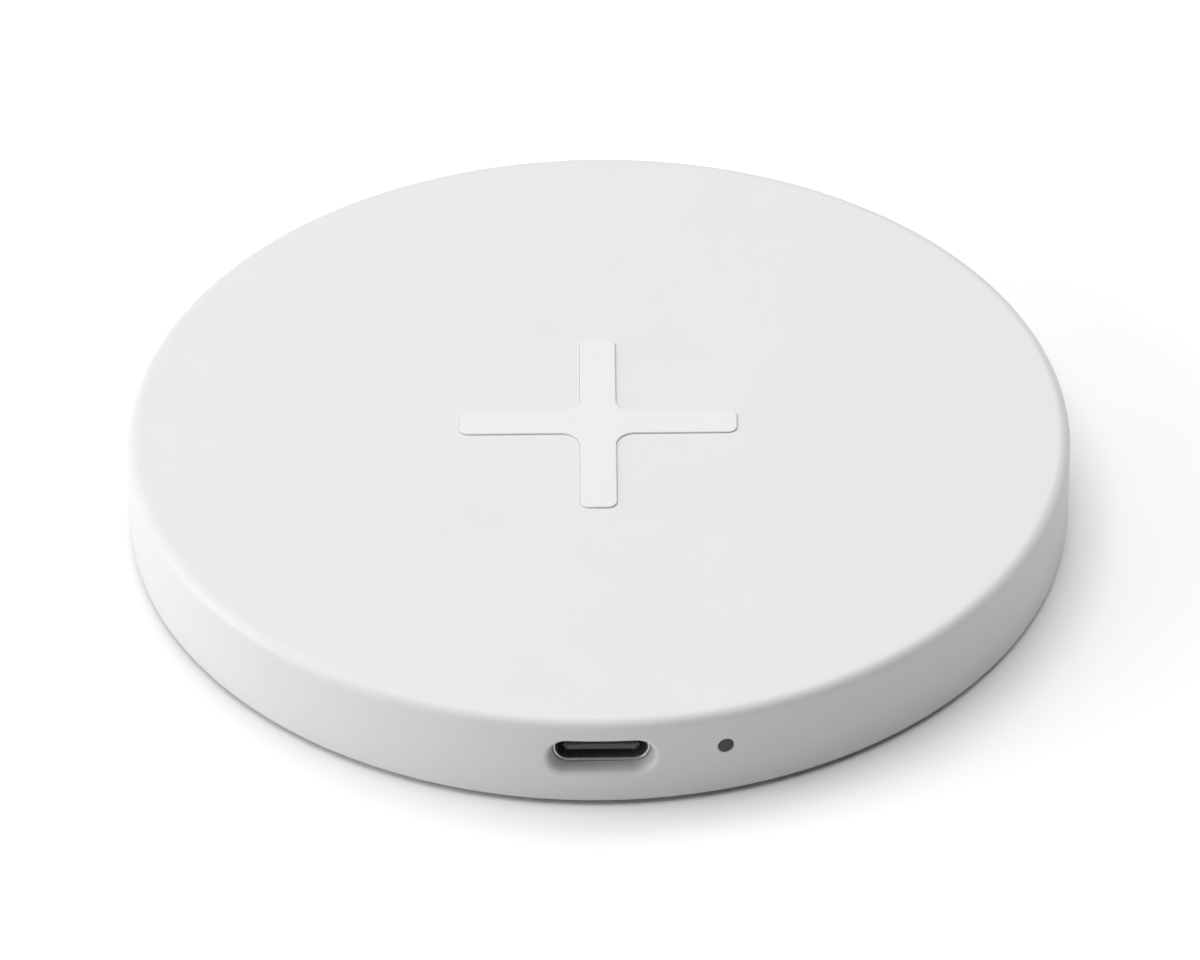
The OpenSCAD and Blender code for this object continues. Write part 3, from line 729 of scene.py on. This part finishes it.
def twisted_wire(b, path, lay, count=7, ring_r=0.34, strand_r=0.147, core_r=0.19, sides=6):
    """Adds a bundle of strands to the builder: count of them wound round a core, one turn in each lay."""
    tangents = [(q - p).normalized() for p, q in zip(path, path[1:])]
    tangents.append(tangents[-1])
    side = tangents[0].orthogonal().normalized()
    distance = 0.0
    strands_loops = [[] for _ in range(count + 1)]
    for i, (p, t) in enumerate(zip(path, tangents)):
        if i:
            distance += (p - path[i - 1]).length
        side = (side - t * side.dot(t)).normalized()
        other = t.cross(side)
        for k in range(count + 1):
            a = 2 * math.pi * (k / count + distance / lay)
            middle = p if k == count else p + (side * math.cos(a) + other * math.sin(a)) * ring_r
            r = core_r if k == count else strand_r
            turns = [2 * math.pi * j / sides for j in range(sides)]
            strands_loops[k].append([tuple(middle + (side * math.cos(c) + other * math.sin(c)) * r)
                                     for c in turns])
    for loops in strands_loops:
        b.solid(loops)


def make_coil():
    """The spiral of litz wire under the ceiling."""
    b = Builder()
    twisted_wire(b, coil_path(COIL_FIRST_R, COIL_PITCH, COIL_HALF_TURNS, COIL_Z, steps=58), LITZ_LAY)
    return b.object("litz_coil", LITZ_SMOOTH)


def make_leads():
    """The inner lead steps down under the turns and runs to the front; the outer one drops past them."""
    inner_run_end, bend_r, outer_bend_r, outer_run = 26.2, 1.5, 3.0, 0.6
    step_r, slot_gap, lead_r = 1.0, 0.1, 0.5
    slot_z = FERRITE_HIGH.z - slot_gap - lead_r
    step_angle = math.degrees(math.acos(1 - (COIL_Z - slot_z) / (2 * step_r)))
    low = BOARD_TOP + 0.15
    inner = lead_path((0, -COIL_FIRST_R, COIL_Z), -math.pi / 2, [
        (step_r, step_angle, 180), (step_r, step_angle, 180), (bend_r, 90, -90),
        inner_run_end - COIL_FIRST_R - bend_r, (bend_r, 90, -90), slot_z - bend_r - low])
    last_r = COIL_FIRST_R + COIL_HALF_TURNS * COIL_PITCH / 2
    outer = lead_path((0, -last_r, COIL_Z), math.pi / 2, [
        (outer_bend_r, 90, -90), outer_run, (bend_r, 90, 90), COIL_Z - bend_r - low])
    b = Builder()
    for path in (inner, outer):
        twisted_wire(b, path, LITZ_LAY)
    return b.object("litz_leads", LITZ_SMOOTH)


# ---- materials ----

class Surface:
    """Principled material with short ways to add the nodes that the finishes share."""

    def __init__(self, name, **constants):
        self.material = bpy.data.materials.new(name)
        self.material.use_nodes = True
        self.tree = self.material.node_tree
        self.shader = self.tree.nodes["Principled BSDF"]
        for key, value in constants.items():
            self.shader.inputs[key.replace("_", " ")].default_value = value
        self.place = self.tree.nodes.new("ShaderNodeTexCoord").outputs["Object"]

    def add(self, kind, inputs, output, **settings):
        """Adds a node, fills or links its inputs, and returns one of its outputs."""
        node = self.tree.nodes.new("ShaderNode" + kind)
        for key, value in settings.items():
            setattr(node, key, value)
        for key, value in inputs.items():
            if isinstance(value, bpy.types.NodeSocket):
                self.tree.links.new(value, node.inputs[key])
            else:
                node.inputs[key].default_value = value
        return node.outputs[output]

    def noise(self, size_mm, detail=2.0, roughness=0.5, place=None):
        """Cloudy noise of a size in millimetres, about 0.3 to 0.7."""
        return self.add("TexNoise", {"Vector": place or self.place, "Scale": 1 / (size_mm * MM),
                                     "Detail": detail, "Roughness": roughness}, "Fac")

    def cells(self, size_mm, output="Distance", **settings):
        """Voronoi cells: the distance from the cell's middle, or a colour for each cell."""
        return self.add("TexVoronoi", {"Vector": self.place, "Scale": 1 / (size_mm * MM)}, output, **settings)

    def stretched(self, x, y, z):
        """The place on the object, scaled along each axis."""
        return self.add("Mapping", {"Vector": self.place, "Scale": (x, y, z)}, "Vector")

    def spread(self, value, low, high, start=0.3, end=0.7):
        """Maps a value from start..end to low..high."""
        return self.add("MapRange", {"Value": value, "From Min": start, "From Max": end, "To Min": low,
                                     "To Max": high}, "Result")

    def maths(self, operation, a, b=0.0):
        """One sum of two values, each a number or a socket."""
        return self.add("Math", {0: a, 1: b}, 0, operation=operation)

    def axes(self, source=None):
        """The x, y and z of a vector, by default of the place on the object."""
        node = self.tree.nodes.new("ShaderNodeSeparateXYZ")
        self.tree.links.new(source or self.place, node.inputs[0])
        return node.outputs

    def blend(self, factor, a, b):
        """Mixes two colours, each given as numbers or as a socket."""
        node = self.tree.nodes.new("ShaderNodeMix")
        node.data_type = "RGBA"
        self.tree.links.new(factor, node.inputs["Factor"])
        sockets = [i for i in node.inputs if i.type == "RGBA"]
        for socket, value in zip(sockets, (a, b)):
            if isinstance(value, bpy.types.NodeSocket):
                self.tree.links.new(value, socket)
            else:
                socket.default_value = (*value, 1)
        return [o for o in node.outputs if o.type == "RGBA"][0]

    def facing_up(self):
        """The height of the surface's normal: 1 on top faces, 0 on upright sides."""
        return self.axes(self.tree.nodes.new("ShaderNodeNewGeometry").outputs["Normal"])[2]

    def set(self, name, socket):
        """Links a socket to one of the shader's inputs."""
        self.tree.links.new(socket, self.shader.inputs[name])

    def bump(self, height, depth_um):
        """Fine relief from a height socket, its depth in micrometres."""
        self.set("Normal", self.add("Bump", {"Height": height, "Distance": depth_um * 1e-6}, "Normal"))


def scaled(colour, k):
    """A colour made lighter or darker by a factor."""
    return tuple(c * k for c in colour)


def moulded(name, colour, roughness, grain_mm, depth_um):
    """Moulded plastic or rubber: a spark-eroded grain, and a faint unevenness in tone and gloss."""
    s = Surface(name)
    s.set("Base Color", s.blend(s.spread(s.noise(9.0, 3.0), 0, 1), colour, scaled(colour, 0.985)))
    s.set("Roughness", s.spread(s.noise(1.6, 4.0), roughness - 0.04, roughness + 0.04))
    s.bump(s.noise(grain_mm, 3.0, 0.6), depth_um)
    return s.material


def metal(name, colour, roughness, stretch=(1, 1, 1), grain_mm=0.25, depth_um=1.5):
    """Plated or drawn metal, with its grain drawn out along one axis."""
    s = Surface(name, Metallic=1.0)
    fine = s.noise(grain_mm, 4.0, 0.6, s.stretched(*stretch))
    s.set("Base Color", s.blend(s.spread(fine, 0, 1), colour, scaled(colour, 0.85)))
    s.set("Roughness", s.spread(fine, roughness - 0.06, roughness + 0.08))
    s.bump(fine, depth_um)
    return s.material


def speckled(name, colour, fleck, roughness, cell_mm, depth_um, share=0.5):
    """Pressed or filled material, such as chip epoxy, ferrite or ceramic, with fine flecks."""
    s = Surface(name)
    cell = s.axes(s.cells(cell_mm, "Color"))[0]
    s.set("Base Color", s.blend(s.spread(cell, 0, 1, 1 - share, 1), colour, fleck))
    s.set("Roughness", s.spread(s.noise(6 * cell_mm, 3.0), roughness - 0.06, roughness + 0.06))
    s.bump(s.noise(2 * cell_mm, 4.0, 0.65), depth_um)
    return s.material


def film(name, colour, roughness):
    """Thin adhesive film with a few flat bubbles under it."""
    s = Surface(name)
    bubble = s.spread(s.cells(4.0), 1, 0, 0.06, 0.1)
    s.set("Base Color", s.blend(bubble, colour, scaled(colour, 1.15)))
    s.set("Roughness", s.spread(s.noise(2.0, 3.0), roughness - 0.05, roughness + 0.05))
    s.bump(s.maths("ADD", s.noise(0.6, 3.0), bubble), 4.0)
    return s.material


def laminate(name, mask, track, edge):
    """Circuit board: solder mask over tracks and ground areas, vias, and a bare woven edge."""
    s = Surface(name)
    z = s.axes()[2]
    white, black = (1, 1, 1, 1), (0, 0, 0, 1)
    bricks = s.add("TexBrick", {"Vector": s.place, "Scale": 1 / (6.0 * MM), "Mortar Size": 0.012,
                                "Color1": white, "Color2": white, "Mortar": black}, "Fac")
    area_edge = s.spread(s.cells(7.0, "Distance", feature="DISTANCE_TO_EDGE"), 1, 0, 0.0, 0.03)
    tracks = s.maths("MAXIMUM", bricks, area_edge)
    via = s.spread(s.cells(2.6), 1, 0, 0.07, 0.09)
    face = s.blend(s.spread(tracks, 0, 1, 0, 1), mask, track)
    face = s.blend(via, face, (0.55, 0.42, 0.16))
    side = s.spread(s.maths("ABSOLUTE", s.facing_up()), 1, 0, 0.3, 0.6)
    layers = s.spread(s.maths("SINE", s.maths("MULTIPLY", z, 2 * math.pi / (0.12 * MM))), 0, 1, -1, 1)
    s.set("Base Color", s.blend(side, face, s.blend(layers, edge, scaled(edge, 0.7))))
    s.set("Roughness", s.spread(side, 0.32, 0.7, 0, 1))
    s.bump(s.maths("ADD", tracks, s.maths("MULTIPLY", via, -0.6)), 18.0)
    return s.material


def resistor_body(name):
    """Thick-film resistor: a black glazed top on a white alumina body."""
    s = Surface(name)
    top = s.spread(s.facing_up(), 0, 1, 0.5, 0.7)
    s.set("Base Color", s.blend(top, (0.7, 0.68, 0.62), (0.02, 0.02, 0.022)))
    s.set("Roughness", s.spread(s.noise(0.15, 3.0), 0.3, 0.5))
    s.bump(s.noise(0.08, 3.0), 1.5)
    return s.material


def finish_piece(piece, material, node):
    """Gives a made piece its body and its material, and hides the CAD node that it stands for."""
    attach(piece, "root")
    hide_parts(node)
    piece.data.materials.clear()
    piece.data.materials.append(material)


def finish_nodes(material, *names):
    """Gives CAD nodes that stay a better material."""
    for name in names:
        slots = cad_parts[name].data.materials
        for i in range(len(slots)):
            slots[i] = material


shell_white = moulded("shell_white", (0.68, 0.68, 0.68), 0.46, 0.16, 3.0)
grip_white = moulded("grip_white", (0.715, 0.715, 0.715), 0.5, 0.1, 2.0)
cover_white = moulded("cover_white", (0.66, 0.66, 0.66), 0.55, 0.22, 7.0)
foot_grey = moulded("foot_grey", (0.5, 0.5, 0.5), 0.62, 0.12, 3.0)
socket_black = moulded("socket_black", (0.095, 0.095, 0.095), 0.55, 0.1, 2.0)
window_smoke = moulded("window_smoke", (0.03, 0.03, 0.03), 0.4, 0.15, 1.0)
lens_white = moulded("lens_white", (0.75, 0.74, 0.66), 0.25, 0.2, 1.0)
nickel = metal("nickel", (0.7, 0.69, 0.67), 0.42, (1, 0.15, 1))
plate_steel = metal("plate_steel", (0.22, 0.215, 0.21), 0.42, (1, 0.15, 1))
gold = metal("gold", (0.9, 0.66, 0.3), 0.25, (1, 0.2, 1))
zinc = metal("zinc", (0.55, 0.56, 0.58), 0.34, (1, 1, 4), 0.3, 2.0)
tin = metal("tin", (0.7, 0.7, 0.7), 0.36, (1, 1, 1), 0.35, 4.0)
chip_black = speckled("chip_black", (0.018, 0.018, 0.02), (0.05, 0.05, 0.052), 0.55, 0.04, 2.5, 0.3)
ferrite_grey = speckled("ferrite_grey", (0.045, 0.043, 0.042), (0.1, 0.098, 0.095), 0.48, 0.09, 5.0)
powder_grey = speckled("powder_grey", (0.1, 0.1, 0.1), (0.2, 0.2, 0.2), 0.6, 0.07, 6.0)
ceramic_tan = speckled("ceramic_tan", (0.42, 0.29, 0.17), (0.5, 0.36, 0.22), 0.4, 0.06, 1.5)
bead_black = speckled("bead_black", (0.02, 0.018, 0.016), (0.04, 0.036, 0.03), 0.2, 0.1, 2.0)
resistor_black = resistor_body("resistor_black")
tape_clear = film("tape_clear", (0.62, 0.58, 0.45), 0.4)
board_green = laminate("board_green", (0.012, 0.075, 0.03), (0.03, 0.15, 0.06), (0.45, 0.4, 0.22))
litz = metal("litz", (0.72, 0.34, 0.17), 0.32, (1, 1, 1), 0.12, 3.0)

finish_piece(make_shell(), shell_white, "top_shell")
finish_piece(make_grip(), grip_white, "cross_grip")
finish_piece(make_cover(), cover_white, "bottom_cover")
finish_piece(make_foot(), foot_grey, "foot_ring")
finish_piece(make_socket(), nickel, "usb_c_shell")
finish_piece(make_tongue(), socket_black, "usb_c_tongue")
case_screw = {"seat": CLAMP_SEAT, "d": 2.0, "length": 4.0, "head_d": 3.9, "head_h": 1.3, "pitch": 0.6}
card_screw = {"seat": BOARD_LOW.z, "d": 1.6, "length": 3.6, "head_d": 3.2, "head_h": 0.6, "pitch": 0.5}
finish_piece(make_screws("case_screws", COVER_SCREWS, **case_screw), zinc, "cover_screws")
finish_piece(make_screws("card_screws", BOARD_SCREWS, **card_screw), zinc, "board_screws")
finish_piece(make_coil(), litz, "transmit_coil")
finish_piece(make_leads(), litz, "coil_leads")
finish_nodes(plate_steel, "usb_c_mid_plate")
finish_nodes(gold, "usb_c_contacts", "test_pads")
finish_nodes(window_smoke, "light_pipe")
finish_nodes(lens_white, "status_led")
finish_nodes(tape_clear, "foot_adhesive", "coil_adhesive", "ferrite_adhesive")
finish_nodes(board_green, "circuit_board")
finish_nodes(ferrite_grey, "ferrite_plate")
finish_nodes(bead_black, "thermistor_bead")
finish_nodes(tin, "thermistor_leads", "chip_lands", "package_leads", "end_caps", "inductor_terminals",
             "solder_joints")
finish_nodes(chip_black, "controller_chip", "power_delivery_chip", "bridge_transistors", "voltage_regulator")
finish_nodes(ceramic_tan, "resonance_capacitors", "input_capacitors")
finish_nodes(resistor_black, "sense_resistor", "small_passives")
finish_nodes(powder_grey, "filter_inductor")


# ---- camera, lights, backdrop and floor ----

def camera():
    """Camera in front of the pad and above it, with a long lens and a slight roll."""
    distance = 613
    elevation, roll = math.radians(37.65), math.radians(-0.55)
    aim_up, aim_right = 1.75, 0.1
    data = bpy.data.cameras.new("camera")
    data.sensor_width, data.lens = 36, 191.0
    data.clip_start, data.clip_end = 0.01, 10
    pad = Vector((0, 0, EDGE))
    back = Vector((0, -math.cos(elevation), math.sin(elevation)))
    place = pad + back * distance
    right = Vector((1, 0, 0))
    up = right.cross(-back)
    rolled_right = right * math.cos(roll) + up * math.sin(roll)
    rolled_up = up * math.cos(roll) - right * math.sin(roll)
    target = pad + rolled_up * aim_up + rolled_right * aim_right
    forward = (target - place).normalized()
    x_axis = forward.cross(rolled_up).normalized()
    y_axis = x_axis.cross(forward)
    matrix = Matrix((x_axis, y_axis, -forward)).transposed().to_4x4()
    matrix.translation = place * MM
    cam = bpy.data.objects.new("camera", data)
    cam.matrix_world = matrix
    bpy.context.scene.collection.objects.link(cam)
    bpy.context.scene.camera = cam


# name, place and edge of the square in metres, and power in watts
SOFTBOXES = [
    ("overhead", (0, 0, 1.0), 1.2, 9.3),
    ("high_left", (-0.7, 0.1, 0.8), 0.8, 2.5),
    ("high_back", (0.0, 0.7, 0.8), 0.8, 3.3),
    ("low_left", (-1.0, 0.0, 0.3), 0.5, 4.3),
    ("low_left_front", (-0.85, -0.4, 0.3), 0.5, 1.9),
    ("right_back", (0.8, 0.6, 0.5), 0.5, 1.5),
]
SOFTBOX_TARGET = Vector((0, 0, 0.02))


def softbox(name, place, size, power):
    """Square area light that faces the pad."""
    data = bpy.data.lights.new(name, "AREA")
    data.energy = power
    data.shape = "SQUARE"
    data.size = size
    lamp = bpy.data.objects.new(name, data)
    lamp.location = place
    lamp.rotation_mode = "QUATERNION"
    lamp.rotation_quaternion = (SOFTBOX_TARGET - Vector(place)).to_track_quat("-Z", "Y")
    bpy.context.scene.collection.objects.link(lamp)


def backdrop():
    """White backdrop behind the floor's edge, which adds no light to the pad."""
    world = bpy.data.worlds.new("studio")
    bpy.context.scene.world = world
    world.use_nodes = True
    tree = world.node_tree
    pale, unlit = tree.nodes["Background"], tree.nodes.new("ShaderNodeBackground")
    pale.inputs["Color"].default_value = (1, 1, 1, 1)
    unlit.inputs["Color"].default_value = (0, 0, 0, 1)
    path, mix = tree.nodes.new("ShaderNodeLightPath"), tree.nodes.new("ShaderNodeMixShader")
    tree.links.new(path.outputs["Is Camera Ray"], mix.inputs["Fac"])
    tree.links.new(unlit.outputs["Background"], mix.inputs[1])
    tree.links.new(pale.outputs["Background"], mix.inputs[2])
    tree.links.new(mix.outputs["Shader"], tree.nodes["World Output"].inputs["Surface"])


def make_floor():
    """Plain pale floor that the pad stands on."""
    bpy.ops.mesh.primitive_plane_add(size=1.6)
    floor = bpy.context.object
    floor.name = "floor"
    pale = bpy.data.materials.new("floor")
    pale.use_nodes = True
    shader = pale.node_tree.nodes["Principled BSDF"]
    shader.inputs["Base Color"].default_value = (0.93, 0.93, 0.93, 1)
    shader.inputs["Roughness"].default_value = 0.9
    floor.data.materials.append(pale)


camera()
for name, place, size, power in SOFTBOXES:
    softbox(name, place, size, power)
backdrop()
bpy.context.scene.view_settings.view_transform = "Standard"
make_floor()
